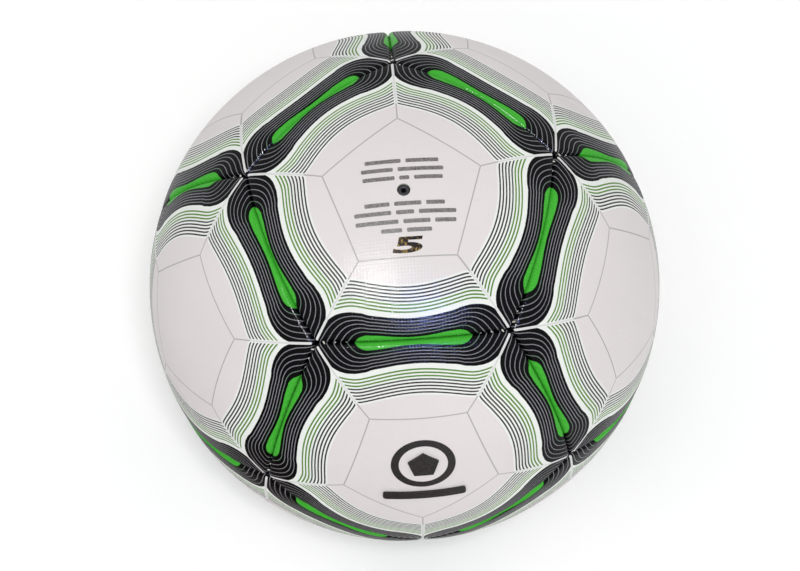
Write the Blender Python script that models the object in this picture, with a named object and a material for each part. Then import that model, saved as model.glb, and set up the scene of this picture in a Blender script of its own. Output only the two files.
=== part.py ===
"""A hand-sewn, full-size football of twelve five-sided panels.

Each panel is a synthetic-leather cover glued to a cloth lining. The edges of both turn in towards
the ball's centre, where each pair of neighbours is sewn face to face along one of thirty seams. A
latex bladder fills the cover. Its rubber valve looks out through a hole in one panel, and a soft
plug that can be pulled out closes the valve.

The origin is the ball's centre and +Z runs out through the valve. Depths are measured inwards from
the ball's surface, and insets are measured from the plane of a seam into a panel.
"""

import math

import bmesh
import bpy
from mathutils import Matrix, Vector

MM = 0.001

# Driving dimensions
BALL_RADIUS = 110 * MM  # 69 cm round, in the middle of what a full-size match ball may measure
COVER_THICKNESS = 1.0 * MM
LINING_THICKNESS = 1.35 * MM
GLUE_LINE = 0.3 * MM  # between the cover and its lining, and round every piece that touches another
SEAM_HALF_GAP = 0.15 * MM  # from a seam's plane to the cover on each side of it
FLANGE_DEPTH = 6.5 * MM  # how far the sewn edges reach in
MITRE_DEPTH = 4.2 * MM  # how far they reach in at a corner, where they are cut back
THREAD_RADIUS = 0.45 * MM
THREAD_DEPTH = 1.35 * MM
BLADDER_DEPTH = 4.0 * MM
BLADDER_THICKNESS = 0.8 * MM
VALVE_HOLE_RADIUS = 2.6 * MM
VALVE_NECK_RADIUS = 4.3 * MM
VALVE_FLANGE_RADIUS = 13 * MM
VALVE_LENGTH = 21 * MM
PLUG_RADIUS = 1.9 * MM
PLUG_HEAD_RADIUS = 2.4 * MM
PLUG_LENGTH = 18 * MM
NEEDLE_RADIUS = 0.8 * MM

# How finely the curved shapes are cut up
PANEL_CUTS = 3
BLADDER_CUTS = 2
ROUND_STEPS = 20

# What follows from them
SIDES = 5
SIDE_TURN = math.tau / SIDES
RING_TILT = math.atan(0.5)  # how far the rings of five panels stand above and below the equator
CORNER_ANGLE = math.acos(math.sqrt((5 + 2 * math.sqrt(5)) / 15))  # panel's middle to its corner
EDGE_ANGLE = (math.pi / 2 - RING_TILT) / 2  # panel's middle to the middle of its side
SEAM_SHOULDER = 2.8 * MM  # where a panel starts to bend down into the seam
CHANNEL_INSET = THREAD_RADIUS + 0.35 * MM
CHANNEL_TOP = 0.7 * MM
CHANNEL_BOTTOM = 1.9 * MM
NECK_HOLE_RADIUS = VALVE_NECK_RADIUS + GLUE_LINE

WHITE_LEATHER = ("white_synthetic_leather", (0.80, 0.77, 0.76), 0.42)
LINING_CLOTH = ("laminated_lining_cloth", (0.62, 0.58, 0.50), 0.95)
WAXED_THREAD = ("waxed_polyester_thread", (0.85, 0.84, 0.80), 0.60)
LATEX = ("natural_latex", (0.74, 0.60, 0.42), 0.50)
BLACK_RUBBER = ("black_valve_rubber", (0.02, 0.02, 0.02), 0.60)


def clear_scene():
    for old in list(bpy.data.objects):
        bpy.data.objects.remove(old)


def material(finish):
    """The material of a finish, made the first time it is asked for."""
    name, colour, roughness = finish
    found = bpy.data.materials.get(name)
    if found is None:
        found = bpy.data.materials.new(name)
        found.use_nodes = True
        shader = found.node_tree.nodes["Principled BSDF"]
        shader.inputs["Base Color"].default_value = (*colour, 1)
        shader.inputs["Roughness"].default_value = roughness
        shader.inputs["Metallic"].default_value = 0
    return found


def add_object(name, data, finish):
    made = bpy.data.objects.new(name, data)
    bpy.context.scene.collection.objects.link(made)
    if not data.materials:
        data.materials.append(material(finish))
    return made


# Panels. One is modelled round +Z, with a side towards -Y, and the rest are turned copies of it.


def side_frame(side):
    """(into the panel, to the side's middle, along the side) for one side of the panel round +Z."""
    azimuth = -math.pi / 2 + side * SIDE_TURN
    outward = Vector((math.cos(azimuth), math.sin(azimuth), 0))
    middle = math.sin(EDGE_ANGLE) * outward + math.cos(EDGE_ANGLE) * Vector((0, 0, 1))
    inward = math.sin(EDGE_ANGLE) * Vector((0, 0, 1)) - math.cos(EDGE_ANGLE) * outward
    return inward, middle, Vector((0, 0, 1)).cross(outward)


def corner_direction(side, inset, radius):
    """From the centre to the corner after this side, of the outline that lies inset from the seams."""
    azimuth = -math.pi / 2 + (side + 0.5) * SIDE_TURN
    outward = Vector((math.cos(azimuth), math.sin(azimuth), 0))
    corner = math.sin(CORNER_ANGLE) * outward + math.cos(CORNER_ANGLE) * Vector((0, 0, 1))
    to_middle = math.sin(CORNER_ANGLE) * Vector((0, 0, 1)) - math.cos(CORNER_ANGLE) * outward
    turn = math.asin(inset / radius / to_middle.dot(side_frame(side)[0]))
    return math.cos(turn) * corner + math.sin(turn) * to_middle


def rim_point(side, along, inset, depth):
    """A point beside a seam: along runs from -1 at one corner to 1 at the next."""
    radius = BALL_RADIUS - depth
    inward, middle, tangent = side_frame(side)
    corner = corner_direction(side, inset, radius)
    angle = math.atan(along * corner.dot(tangent) / corner.dot(middle))
    share = inset / radius
    reach = math.sqrt(1 - share * share)
    around = math.cos(angle) * middle + math.sin(angle) * tangent
    return radius * (share * inward + reach * around)


def dome(inset, depth, cuts):
    """The curved middle of a panel as a new bmesh, and its rim as {vertex: (side, along)}."""
    radius = BALL_RADIUS - depth
    corner = corner_direction(0, inset, radius)
    flat_radius = math.hypot(corner.x, corner.y) / corner.z
    bm = bmesh.new()
    bmesh.ops.create_circle(bm, cap_ends=True, cap_tris=True, segments=SIDES, radius=flat_radius)
    bmesh.ops.subdivide_edges(bm, edges=bm.edges, cuts=cuts, use_grid_fill=True)
    rim = {}
    for vertex in bm.verts:
        vertex.co = radius * Vector((vertex.co.x, vertex.co.y, 1)).normalized()
        if any(edge.is_boundary for edge in vertex.link_edges):
            rim[vertex] = side_and_along(vertex.co, inset, depth)
            vertex.co = rim_point(*rim[vertex], inset, depth)
    return bm, rim


def side_and_along(point, inset, depth):
    """Which side of the panel a point on its rim is beside, and how far along, from -1 to 1."""
    azimuth = math.atan2(point.y, point.x) + math.pi / 2
    side = math.floor(azimuth / SIDE_TURN + 0.5 - 1e-6) % SIDES
    _, middle, tangent = side_frame(side)
    corner = corner_direction(side, inset, BALL_RADIUS - depth)
    widest = corner.dot(tangent) / corner.dot(middle)
    return side, point.dot(tangent) / point.dot(middle) / widest


def extrude_rim(bm, rim, inset, depth, mitre_depth=None):
    """Extrudes a rim to its next ring, and returns that ring as dome does.

    The mitre depth is how deep the ring's corners are, where they aren't as deep as its sides.
    """
    edges = {edge for vertex in rim for edge in vertex.link_edges if edge.is_boundary}
    made = bmesh.ops.extrude_edge_only(bm, edges=list(edges))
    new = {item for item in made["geom"] if isinstance(item, bmesh.types.BMVert)}
    ring = {}
    for vertex in new:
        twin = next(
            edge.other_vert(vertex) for edge in vertex.link_edges if edge.other_vert(vertex) in rim
        )
        side, along = ring[vertex] = rim[twin]
        at_corner = mitre_depth and abs(along) > 1 - 1e-3
        vertex.co = rim_point(side, along, inset, mitre_depth if at_corner else depth)
    return ring


def panel_shell(name, rings, cuts):
    """A closed panel-shaped shell: a dome, rings round its edge given as (inset, depth), and a dome."""
    bm, rim = dome(*rings[0], cuts)
    for ring in rings[1:]:
        rim = extrude_rim(bm, rim, *ring)
    join(bm, dome(*rings[-1], cuts)[0])
    return finished_mesh(bm, name)


def join(bm, other):
    """Adds another bmesh to bm, and frees it."""
    carrier = bpy.data.meshes.new("carrier")
    other.to_mesh(carrier)
    other.free()
    bm.from_mesh(carrier)
    bpy.data.meshes.remove(carrier)


def finished_mesh(bm, name):
    bmesh.ops.remove_doubles(bm, verts=bm.verts, dist=0.001 * MM)
    bmesh.ops.recalc_face_normals(bm, faces=bm.faces)
    mesh = bpy.data.meshes.new(name)
    bm.to_mesh(mesh)
    bm.free()
    mesh.shade_smooth()
    mesh.set_sharp_from_angle(angle=math.radians(35))
    return mesh


def cover_mesh():
    """Leather: over the shoulder, round the thread's channel, down the flange and back inside."""
    inside = SEAM_HALF_GAP + COVER_THICKNESS
    return panel_shell(
        "panel_cover",
        [
            (SEAM_SHOULDER, 0),
            (CHANNEL_INSET, CHANNEL_TOP),
            (CHANNEL_INSET, CHANNEL_BOTTOM),
            (SEAM_HALF_GAP, CHANNEL_BOTTOM + GLUE_LINE),
            (SEAM_HALF_GAP, FLANGE_DEPTH, MITRE_DEPTH),
            (inside, FLANGE_DEPTH, MITRE_DEPTH),
            (inside, CHANNEL_BOTTOM + 1.4 * MM),
            (CHANNEL_INSET + 1.1 * MM, CHANNEL_BOTTOM + 0.3 * MM),
            (SEAM_SHOULDER + 0.2 * MM, COVER_THICKNESS),
        ],
        PANEL_CUTS,
    )


def lining_mesh():
    """Cloth: the same form one glue line further in."""
    outside = SEAM_HALF_GAP + COVER_THICKNESS + GLUE_LINE
    inside = outside + LINING_THICKNESS
    top = COVER_THICKNESS + GLUE_LINE
    return panel_shell(
        "panel_lining",
        [
            (SEAM_SHOULDER + 0.4 * MM, top),
            (CHANNEL_INSET + 1.4 * MM, CHANNEL_BOTTOM + 0.45 * MM),
            (outside, CHANNEL_BOTTOM + 1.5 * MM),
            (outside, FLANGE_DEPTH, MITRE_DEPTH),
            (inside, FLANGE_DEPTH, MITRE_DEPTH),
            (inside, CHANNEL_BOTTOM + 1.9 * MM),
            (inside + 1.6 * MM, top + LINING_THICKNESS),
        ],
        PANEL_CUTS,
    )


def panel_directions():
    """{name: unit vector from the ball's centre to the middle of that panel}."""
    found = {"valve_panel": Vector((0, 0, 1))}
    for ring, tilt, offset in (("upper", RING_TILT, 0), ("lower", -RING_TILT, SIDE_TURN / 2)):
        for k in range(SIDES):
            azimuth = -math.pi / 2 + offset + k * SIDE_TURN
            level = Vector((math.cos(azimuth), math.sin(azimuth), 0))
            direction = math.cos(tilt) * level + math.sin(tilt) * Vector((0, 0, 1))
            found[f"{ring}_panel_{k + 1}"] = direction
    found["bottom_panel"] = Vector((0, 0, -1))
    return found


def are_neighbours(a, b):
    return 0 < a.dot(b) < 0.9


def panel_turn(direction, directions):
    """The rotation that carries the panel round +Z to a direction, a side towards a neighbour."""
    neighbour = next(other for other in directions.values() if are_neighbours(direction, other))
    towards = (neighbour - neighbour.dot(direction) * direction).normalized()
    back = -towards
    return Matrix((back.cross(direction), back, direction)).transposed().to_4x4()


def add_panels(directions):
    cover = cover_mesh()
    lining = lining_mesh()
    for name, direction in directions.items():
        turn = panel_turn(direction, directions)
        add_object(f"{name}_cover", cover, WHITE_LEATHER).matrix_world = turn
        add_object(f"{name}_lining", lining, LINING_CLOTH).matrix_world = turn


# Seams. A seam runs on the sphere between two corners where three panels meet.


def seam_name(first, second, counts):
    """A seam's name after the ring it lies in, numbered round the ball."""
    kinds = {first.split("_")[0], second.split("_")[0]}
    if kinds == {"upper", "lower"}:
        ring = "middle"
    else:
        ring = next(kind for kind in ("valve", "bottom", "upper", "lower") if kind in kinds)
        if kinds in ({"upper"}, {"lower"}):
            ring += "_side"
    counts[ring] = counts.get(ring, 0) + 1
    return f"{ring}_seam_thread_{counts[ring]}"


def add_seam_threads(directions):
    """One waxed thread for each seam, in the channel between its two covers."""
    names = list(directions)
    counts = {}
    radius = BALL_RADIUS - THREAD_DEPTH
    for i, first in enumerate(names):
        for second in names[i + 1 :]:
            a, b = directions[first], directions[second]
            if not are_neighbours(a, b):
                continue
            middle = (a + b).normalized()
            along = a.cross(b).normalized()
            half_seam = math.acos(middle.dot(seam_corner(a, b, directions)))
            last = half_seam - 1.0 * MM / radius
            steps = PANEL_CUTS + 1
            points = []
            for k in range(steps + 1):
                angle = math.atan(math.tan(last) * (2 * k / steps - 1))
                points.append(radius * (math.cos(angle) * middle + math.sin(angle) * along))
            add_thread(seam_name(first, second, counts), points)


def seam_corner(a, b, directions):
    """The corner at one end of the seam between two panels."""
    third = next(
        other for other in directions.values() if are_neighbours(a, other) and are_neighbours(b, other)
    )
    return (a + b + third).normalized()


def add_thread(name, points):
    curve = bpy.data.curves.new(name, "CURVE")
    curve.dimensions = "3D"
    curve.bevel_depth = THREAD_RADIUS
    curve.bevel_resolution = 1
    curve.use_fill_caps = True
    spline = curve.splines.new("POLY")
    spline.points.add(len(points) - 1)
    for spot, point in zip(spline.points, points, strict=True):
        spot.co = (*point, 1)
    add_object(name, curve, WAXED_THREAD)


# Bladder and valve


def bladder_surface(depth, directions):
    """One closed surface of the bladder: it fills out each panel and dips under each seam."""
    under_flanges = SEAM_HALF_GAP + COVER_THICKNESS + LINING_THICKNESS + 0.8 * MM
    surface = bmesh.new()
    for direction in directions.values():
        patch, rim = dome(7 * MM, depth, BLADDER_CUTS)
        rim = extrude_rim(patch, rim, under_flanges, depth + 2.9 * MM)
        extrude_rim(patch, rim, 0, depth + 3.1 * MM)
        patch.transform(panel_turn(direction, directions))
        join(surface, patch)
    bmesh.ops.remove_doubles(surface, verts=surface.verts, dist=0.01 * MM)
    bmesh.ops.recalc_face_normals(surface, faces=surface.faces)
    return surface


def add_bladder(directions):
    wall = bladder_surface(BLADDER_DEPTH, directions)
    room = bladder_surface(BLADDER_DEPTH + BLADDER_THICKNESS, directions)
    bmesh.ops.reverse_faces(room, faces=room.faces)
    join(wall, room)
    mesh = bpy.data.meshes.new("bladder")
    wall.to_mesh(mesh)
    wall.free()
    mesh.shade_smooth()
    add_object("bladder", mesh, LATEX)


def turned(name, outline, finish):
    """A body turned about the valve's axis from a closed outline of (radius, depth) points."""
    bm = bmesh.new()
    spots = [bm.verts.new((radius, 0, BALL_RADIUS - depth)) for radius, depth in outline]
    edges = []
    for here, there in zip(spots, spots[1:] + spots[:1], strict=True):
        if here.co.xy.length > 0 or there.co.xy.length > 0:
            edges.append(bm.edges.new((here, there)))
    bmesh.ops.spin(
        bm,
        geom=spots + edges,
        axis=(0, 0, 1),
        cent=(0, 0, 0),
        angle=math.tau,
        steps=ROUND_STEPS,
        use_merge=True,
    )
    return add_object(name, finished_mesh(bm, name), finish)


def add_valve():
    """The housing in the bladder, the plug in the housing, and the patch that backs the panel."""
    neck_top = 1.8 * MM
    seat = 3.4 * MM
    turned(
        "valve_housing",
        [
            (PLUG_HEAD_RADIUS + 0.2 * MM, neck_top),
            (VALVE_NECK_RADIUS, neck_top),
            (VALVE_NECK_RADIUS, 5.8 * MM),
            (VALVE_FLANGE_RADIUS, 6.9 * MM),
            (VALVE_FLANGE_RADIUS, 7.7 * MM),
            (VALVE_NECK_RADIUS + 1.2 * MM, 8.1 * MM),
            (VALVE_NECK_RADIUS, 9.7 * MM),
            (VALVE_NECK_RADIUS - 0.7 * MM, VALVE_LENGTH),
            (PLUG_RADIUS + 0.25 * MM, VALVE_LENGTH),
            (PLUG_RADIUS + 0.25 * MM, seat),
            (PLUG_HEAD_RADIUS + 0.2 * MM, seat),
        ],
        BLACK_RUBBER,
    )
    head_top = 0.7 * MM
    turned(
        "valve_plug",
        [
            (NEEDLE_RADIUS, head_top),
            (PLUG_HEAD_RADIUS - 0.2 * MM, head_top),
            (PLUG_HEAD_RADIUS, head_top + 0.2 * MM),
            (PLUG_HEAD_RADIUS, seat - GLUE_LINE),
            (PLUG_RADIUS, seat - GLUE_LINE),
            (PLUG_RADIUS, PLUG_LENGTH - 2 * MM),
            (PLUG_RADIUS - 0.7 * MM, PLUG_LENGTH),
            (0, PLUG_LENGTH),
            (0, 12 * MM),
            (NEEDLE_RADIUS, 11.4 * MM),
        ],
        BLACK_RUBBER,
    )
    patch_radius = 14 * MM
    patch_top = 3.5 * MM
    patch_drop = patch_radius**2 / (2 * BALL_RADIUS)
    patch_thickness = 0.5 * MM
    hole_drop = NECK_HOLE_RADIUS**2 / (2 * BALL_RADIUS)
    turned(
        "valve_patch",
        [
            (NECK_HOLE_RADIUS, patch_top + hole_drop),
            (patch_radius / 2, patch_top + patch_drop / 4),
            (patch_radius, patch_top + patch_drop),
            (patch_radius, patch_top + patch_drop + patch_thickness),
            (patch_radius / 2, patch_top + patch_drop / 4 + patch_thickness),
            (NECK_HOLE_RADIUS, patch_top + hole_drop + patch_thickness),
        ],
        LINING_CLOTH,
    )


def drill(name, radius, drilled):
    """Cuts a round hole along the valve's axis through each of the drilled objects."""
    length = 30 * MM
    bm = bmesh.new()
    bmesh.ops.create_cone(
        bm, cap_ends=True, segments=ROUND_STEPS, radius1=radius, radius2=radius, depth=length
    )
    mesh = bpy.data.meshes.new(name)
    bm.to_mesh(mesh)
    bm.free()
    cutter = bpy.data.objects.new(name, mesh)
    bpy.context.scene.collection.objects.link(cutter)
    cutter.location = (0, 0, BALL_RADIUS)
    cutter.hide_render = True
    cutter.display_type = "WIRE"
    for target in drilled:
        cut = bpy.data.objects[target].modifiers.new("valve_hole", "BOOLEAN")
        cut.operation = "DIFFERENCE"
        cut.object = cutter


def main():
    clear_scene()
    directions = panel_directions()
    add_panels(directions)
    add_seam_threads(directions)
    add_bladder(directions)
    add_valve()
    drill("valve_hole_cutter", VALVE_HOLE_RADIUS, ["valve_panel_cover"])
    drill("neck_hole_cutter", NECK_HOLE_RADIUS, ["valve_panel_lining", "bladder"])


main()
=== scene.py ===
"""A hand-sewn football of twelve printed, five-sided panels, with a needle valve in the top one."""

import math

import bpy
import numpy as np
from mathutils import Matrix, Vector


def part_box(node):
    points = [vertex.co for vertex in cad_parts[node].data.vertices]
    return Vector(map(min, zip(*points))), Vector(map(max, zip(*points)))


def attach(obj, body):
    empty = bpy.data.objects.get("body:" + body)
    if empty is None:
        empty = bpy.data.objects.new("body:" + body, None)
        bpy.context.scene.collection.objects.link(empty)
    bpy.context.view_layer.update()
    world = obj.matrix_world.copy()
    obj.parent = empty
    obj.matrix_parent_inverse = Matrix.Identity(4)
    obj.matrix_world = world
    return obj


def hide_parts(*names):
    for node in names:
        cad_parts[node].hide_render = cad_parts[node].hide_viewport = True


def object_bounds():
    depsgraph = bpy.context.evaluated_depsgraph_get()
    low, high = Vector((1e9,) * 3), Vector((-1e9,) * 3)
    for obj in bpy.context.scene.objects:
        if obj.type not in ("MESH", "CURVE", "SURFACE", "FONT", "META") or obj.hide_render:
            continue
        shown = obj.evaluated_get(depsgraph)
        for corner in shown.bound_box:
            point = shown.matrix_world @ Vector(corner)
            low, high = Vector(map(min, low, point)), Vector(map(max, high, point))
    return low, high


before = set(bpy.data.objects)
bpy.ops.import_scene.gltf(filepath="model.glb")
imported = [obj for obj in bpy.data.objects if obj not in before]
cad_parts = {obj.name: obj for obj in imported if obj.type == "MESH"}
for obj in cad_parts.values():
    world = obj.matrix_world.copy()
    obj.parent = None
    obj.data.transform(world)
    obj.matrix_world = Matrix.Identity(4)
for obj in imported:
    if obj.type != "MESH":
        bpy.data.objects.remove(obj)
cad_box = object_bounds()

# Panel covers: twelve pentagons die-cut from embossed polyurethane leather, 1 mm thick, each bulged
# onto the ball by the air inside. Their edges roll over a soft shoulder and turn in at the seams,
# where they are sewn face to face, so each cover is a shallow cup with standing walls.

BALL = 0.110
SEAM_GAP = 0.00010
COVER_THICKNESS = 0.0010
COVER_ROLL = 0.0021
FLANGE_DEPTH = 0.0062
STITCH_PITCH = 0.0046
COVER_CUTS = 40

SIDE_TURN = math.tau / 5
RING_TILT = math.atan(0.5)
CORNER_ANGLE = math.acos(math.sqrt((5 + 2 * math.sqrt(5)) / 15))
EDGE_ANGLE = (math.pi / 2 - RING_TILT) / 2
CORNER_INSET = 1.155  # how far a corner moves in for each unit that its sides do

side_azimuths = -math.pi / 2 + np.arange(5) * SIDE_TURN
side_out = np.stack([np.cos(side_azimuths), np.sin(side_azimuths), np.zeros(5)], axis=1)
side_middle = math.sin(EDGE_ANGLE) * side_out + np.array([0, 0, math.cos(EDGE_ANGLE)])
side_inward = -math.cos(EDGE_ANGLE) * side_out + np.array([0, 0, math.sin(EDGE_ANGLE)])
side_along = np.cross([0, 0, 1], side_out)


def sector(points):
    """Which of a panel's five sides each point round +Z is nearest to."""
    azimuth = np.arctan2(points[:, 1], points[:, 0]) + math.pi / 2
    return np.floor(azimuth / SIDE_TURN + 0.5 - 1e-6).astype(int) % 5


def beside_seam(points, side):
    """How far each point lies along a side's seam from its middle, and how far in from the seam."""
    run = np.arctan2(
        np.einsum("ij,ij->i", points, side_along[side]),
        np.einsum("ij,ij->i", points, side_middle[side]),
    )
    height = np.einsum("ij,ij->i", points, side_inward[side])
    return BALL * run, BALL * np.arcsin(height / np.linalg.norm(points, axis=1))


def half_run(reach):
    """How far along the seam the panel's corner line is, at each distance in from the seam."""
    corner = math.sin(CORNER_ANGLE) * np.array([math.sin(SIDE_TURN / 2), -math.cos(SIDE_TURN / 2), 0])
    inner = np.array([0, 0, 1.0]) - math.cos(CORNER_ANGLE) * (corner + [0, 0, math.cos(CORNER_ANGLE)])
    corner = corner + np.array([0, 0, math.cos(CORNER_ANGLE)])
    inner = inner / np.linalg.norm(inner)
    turn = np.arcsin(np.clip(np.sin(np.asarray(reach) / BALL) / (inner @ side_inward[0]), -1, 1))
    line = np.cos(turn)[..., None] * corner + np.sin(turn)[..., None] * inner
    return BALL * np.arctan2(line @ side_along[0], line @ side_middle[0])


def on_rim(side, share, inset, depth):
    """The points beside a seam at a share of its half length, an inset from it and a depth."""
    run = np.arctan(share * np.tan(half_run(inset) / BALL))[:, None]
    reach = inset / BALL
    on_seam = np.cos(run) * side_middle[side] + np.sin(run) * side_along[side]
    return (BALL - depth) * (math.cos(reach) * on_seam + math.sin(reach) * side_inward[side])


def panel_shell(name, cuts, rings):
    """A sheet bulged round +Z, with a side to -Y: a dome, then a rim at each (inset, depth)."""
    first_inset, first_depth = rings[0]
    bpy.ops.object.select_all(action="DESELECT")
    flat = math.tan(CORNER_ANGLE - CORNER_INSET * first_inset / BALL) * BALL
    bpy.ops.mesh.primitive_circle_add(
        vertices=5, radius=flat, fill_type="TRIFAN", location=(0, 0, BALL)
    )
    panel = bpy.context.object
    panel.name = panel.data.name = name
    bpy.ops.object.transform_apply(location=True)
    bpy.ops.object.mode_set(mode="EDIT")
    bpy.ops.mesh.select_all(action="SELECT")
    bpy.ops.mesh.subdivide(number_cuts=cuts)
    bpy.ops.mesh.select_all(action="DESELECT")
    bpy.ops.object.mode_set(mode="OBJECT")
    cast = panel.modifiers.new("bulge", "CAST")
    cast.factor = 1
    cast.use_radius_as_size = False
    cast.size = BALL - first_depth
    bpy.ops.object.modifier_apply(modifier=cast.name)
    share = None
    for inset, depth in rings:
        bpy.ops.object.mode_set(mode="EDIT")
        bpy.ops.mesh.select_mode(type="EDGE")
        bpy.ops.mesh.select_all(action="DESELECT")
        bpy.ops.mesh.select_non_manifold(
            extend=False, use_wire=False, use_multi_face=False, use_non_contiguous=False, use_verts=False
        )
        if share is not None:
            bpy.ops.mesh.extrude_edges_move()
        bpy.ops.object.mode_set(mode="OBJECT")
        rim = np.array([v.index for v in panel.data.vertices if v.select])
        points = np.array([panel.data.vertices[i].co for i in rim])
        side = sector(points)
        run, reach = beside_seam(points, side)
        share = np.tan(run / BALL) / np.tan(half_run(reach) / BALL)
        for i, place in zip(rim, on_rim(side, share, inset, depth)):
            panel.data.vertices[i].co = place
    panel.data.shade_smooth()
    return panel


def pick(first, *others):
    """Selects these pieces and nothing else, with the first one active."""
    bpy.ops.object.select_all(action="DESELECT")
    for piece in (first, *others):
        piece.select_set(True)
    bpy.context.view_layer.objects.active = first


def smooth_finish(piece, degrees):
    """Shades a piece smooth except over edges sharper than an angle."""
    pick(piece)
    bpy.ops.object.shade_smooth_by_angle(angle=math.radians(degrees))


roll_steps = [math.radians(15 * k) for k in range(7)]
shoulder = [
    (SEAM_GAP + COVER_ROLL * (1 - math.sin(a)), COVER_ROLL * (1 - math.cos(a))) for a in roll_steps
]
cover = panel_shell("cover", COVER_CUTS, shoulder + [(SEAM_GAP, FLANGE_DEPTH)])


def pull_in(piece, dip, reach, pucker):
    """Draws a panel in towards its seams, and puckers it a little at each stitch."""
    points = np.array([v.co for v in piece.data.vertices])
    run, inset = beside_seam(points, sector(points))
    drop = dip * np.exp(-inset / reach)
    drop += pucker * np.cos(run * math.tau / STITCH_PITCH) * np.exp(-inset / PUCKER_REACH)
    points *= (1 - drop / np.linalg.norm(points, axis=1))[:, None]
    piece.data.vertices.foreach_set("co", points.ravel())


SEAM_DIP = 0.0005
SEAM_DIP_REACH = 0.007
STITCH_PUCKER = 0.00008
PUCKER_REACH = 0.0022
pull_in(cover, SEAM_DIP, SEAM_DIP_REACH, STITCH_PUCKER)


MAP_SCALE = 10  # the maps are in decimetres, which keeps them near 0 to 1


def add_print_maps(piece, shift_x, shift_y):
    """Lays out the print, shifted a little on the panel, as three UV maps in decimetres.

    seam is (along the nearest seam from its middle, in from it); field is (out from the panel's
    middle, square to that seam, and away from the line to the nearest corner); face is (x, y).
    """
    data = piece.data
    points = np.array([v.co for v in data.vertices]) + np.array([shift_x, shift_y, 0])
    corners = np.empty(len(data.loops), int)
    data.loops.foreach_get("vertex_index", corners)
    sizes = np.array([len(face.vertices) for face in data.polygons])
    centres = np.array([face.center for face in data.polygons])
    side = np.repeat(sector(centres), sizes)
    points = points[corners]
    run, reach = beside_seam(points, side)
    arc = BALL * np.arccos(np.clip(points[:, 2] / np.linalg.norm(points, axis=1), -1, 1))
    turn = np.arctan2(points[:, 1], points[:, 0]) - side_azimuths[side]
    turn = np.abs((turn + math.pi) % math.tau - math.pi)
    maps = {
        "seam": (run, reach),
        "field": (arc * np.cos(turn), arc * np.sin(SIDE_TURN / 2 - turn)),
        "face": (points[:, 0], points[:, 1]),
    }
    for name, (across, up) in maps.items():
        layer = data.uv_layers.new(name=name)
        spots = MAP_SCALE * np.stack([across, up], axis=1)
        layer.data.foreach_set("uv", spots.astype(np.float32).ravel())


PANELS = {"valve_panel": Vector((0, 0, 1))}
for ring, tilt, first in (("upper", RING_TILT, -90), ("lower", -RING_TILT, -54)):
    for k in range(5):
        azimuth = math.radians(first + 72 * k)
        outward = Vector((math.cos(azimuth), math.sin(azimuth), 0))
        direction = math.cos(tilt) * outward + math.sin(tilt) * Vector((0, 0, 1))
        PANELS[f"{ring}_panel_{k + 1}"] = direction
PANELS["bottom_panel"] = Vector((0, 0, -1))


def panel_turn(direction):
    """The rotation that carries the panel round +Z to a direction, a side towards a neighbour."""
    neighbour = next(other for other in PANELS.values() if 0 < direction.dot(other) < 0.9)
    back = (neighbour.dot(direction) * direction - neighbour).normalized()
    return Matrix((back.cross(direction), back, direction)).transposed().to_4x4()


def turned_copy(piece, name, turn):
    """A copy of a piece with its own mesh, turned into place, its origin still at the middle."""
    pick(piece)
    bpy.ops.object.duplicate()
    copy = bpy.context.object
    copy.name = copy.data.name = name
    copy.matrix_world = turn
    bpy.ops.object.transform_apply(rotation=True)
    return copy


def give_wall(piece, thickness):
    """Gives a sheet its thickness, inwards, with its second material on the back and the cut edge."""
    pick(piece)
    wall = piece.modifiers.new("wall", "SOLIDIFY")
    wall.thickness = thickness
    wall.offset = -1
    wall.use_even_offset = True
    if len(piece.data.materials) > 1:
        wall.material_offset = wall.material_offset_rim = 1
    bpy.ops.object.modifier_apply(modifier=wall.name)


def linear(code):
    """A colour in linear light, from its sRGB hex."""
    parts = [int(code[i : i + 2], 16) / 255 for i in (0, 2, 4)]
    return (*[c / 12.92 if c <= 0.04045 else ((c + 0.055) / 1.055) ** 2.4 for c in parts], 1)


def new_material(name, colour, roughness):
    """A material with its colour and roughness on its shader, and that shader."""
    material = bpy.data.materials.new(name)
    material.use_nodes = True
    shader = material.node_tree.nodes["Principled BSDF"]
    shader.inputs["Base Color"].default_value = linear(colour)
    shader.inputs["Roughness"].default_value = roughness
    return material, shader


def add(material, kind, inputs=None, points=None, **settings):
    """Adds a node. Its inputs are values, nodes or sockets; points are those of its curve or ramp."""
    node = material.node_tree.nodes.new(f"ShaderNode{kind}")
    for name, value in settings.items():
        setattr(node, name, value)
    for socket, value in (inputs or {}).items():
        if isinstance(value, bpy.types.Node):
            value = value.outputs[0]
        if isinstance(value, bpy.types.NodeSocket):
            material.node_tree.links.new(value, node.inputs[socket])
        else:
            node.inputs[socket].default_value = value
    if kind == "FloatCurve":
        curve = node.mapping.curves[0]
        curve.points[0].location, curve.points[1].location = points[0], points[-1]
        for spot in points[1:-1]:
            curve.points.new(*spot)
        node.mapping.update()
    if kind == "ValToRGB":
        steps = node.color_ramp.elements
        steps[0].position, steps[0].color = points[0]
        steps[1].position, steps[1].color = points[-1]
        for position, colour in points[1:-1]:
            steps.new(position).color = colour
    return node


# The covers' finish: white polyurethane leather, screen-printed in black, grey and two greens and
# then clear-coated, so white and print share one satin gloss. The sheet is embossed with a grid of
# pits before it is printed, which shows only where it shines. Print lengths are in millimetres.

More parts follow.
